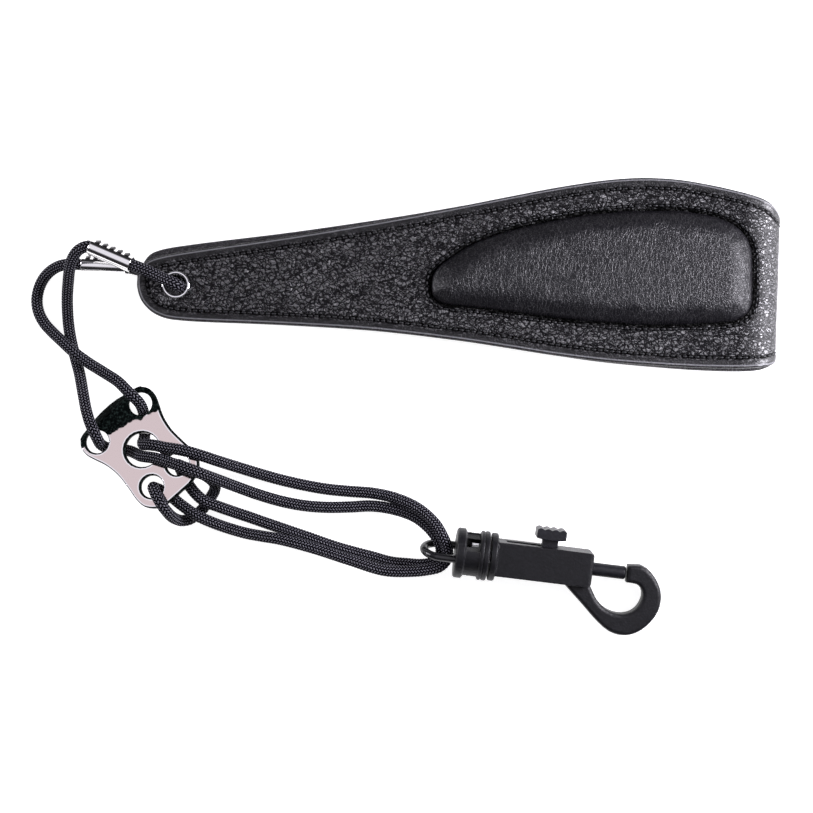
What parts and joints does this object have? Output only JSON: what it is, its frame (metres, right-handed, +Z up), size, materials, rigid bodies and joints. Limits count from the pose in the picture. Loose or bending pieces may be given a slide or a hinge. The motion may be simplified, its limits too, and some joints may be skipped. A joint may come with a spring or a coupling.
{
  "type": "saxophone neck strap",
  "caption": "Padded leather neck strap lying folded in half, with a cord run through eyelets, ferrules and a slotted adjuster plate to a swivelling snap hook with a sliding bolt.",
  "frame": {"origin": "bottom centre of the lying strap's box, cords left out, on the surface it rests on", "axes": "+X along the folded band towards its fold, +Y across the band away from the hook, +Z up from the table"},
  "size_m": [0.2633, 0.1594, 0.0261],
  "materials": {
    "leather": "pebbled, satin",
    "backing": "matte, fine grain",
    "foam": "open-cell foam",
    "nickel": "polished nickel",
    "crimp_metal": "polished dark nickel",
    "black_nickel": "polished black nickel",
    "cord": "braided nylon",
    "hook_plastic": "satin moulded",
    "bolt_plastic": "satin moulded",
    "black_wire": "gloss black",
    "steel": "bright"
  },
  "bodies": {
    "root": {"neck_leather_back": "leather", "backing_back": "backing", "pad_back": "foam", "eyelet_back": "nickel", "eyelet_washer_back": "nickel", "neck_leather_fold": "leather", "backing_fold": "backing", "crimp_back": "crimp_metal", "eyelet_cord_back": "cord", "neck_cord_back": "cord", "neck_cord_front": "cord"},
    "front_half": {"neck_leather_front": "leather", "backing_front": "backing", "pad_front": "foam", "eyelet_front": "nickel", "eyelet_washer_front": "nickel", "crimp_front": "crimp_metal", "eyelet_cord_front": "cord"},
    "adjuster": {"adjuster_plate": "black_nickel", "hook_cord_1": "cord", "hook_cord_2": "cord", "hitch_cord": "cord"},
    "swivel": {"swivel_eye": "black_wire", "swivel_barrel": "hook_plastic"},
    "hook": {"hook_body": "hook_plastic", "swivel_pin": "steel", "bolt_spring": "steel"},
    "bolt": {"bolt": "bolt_plastic", "thumb_slide": "hook_plastic"}
  },
  "joints": [
    {"name": "band_open", "type": "hinge", "parent": "root", "child": "front_half", "pos_m": [0.11335, 0.0422, 0.01305], "axis": [0.0419, 0.9991, 0], "range_deg": [0, 6], "deforming": ["neck_leather_fold", "backing_fold", "neck_cord_front"]},
    {"name": "adjuster_slide", "type": "slide", "parent": "root", "child": "adjuster", "axis": [-0.191, 0.9816, 0], "range_m": [-0.006, 0.012], "deforming": ["neck_cord_back"]},
    {"name": "hook_slide", "type": "slide", "parent": "adjuster", "child": "swivel", "axis": [0.951, -0.3092, 0], "range_m": [-0.003, 0.006], "deforming": ["hook_cord_1", "hook_cord_2"]},
    {"name": "hook_swivel", "type": "hinge", "parent": "swivel", "child": "hook", "pos_m": [0.00895, -0.0507, 0.00915], "axis": [0.9919, -0.12, -0.0419], "continuous": true},
    {"name": "bolt_slide", "type": "slide", "parent": "hook", "child": "bolt", "axis": [-0.9919, 0.12, 0.0419], "range_m": [0, 0.0118], "stiffness_N_per_m": 400, "springref_m": -0.004, "deforming": ["bolt_spring"]}
  ],
  "couplings": [
    {"joint": "hook_slide", "follows": "adjuster_slide", "ratio": 0.5}
  ]
}
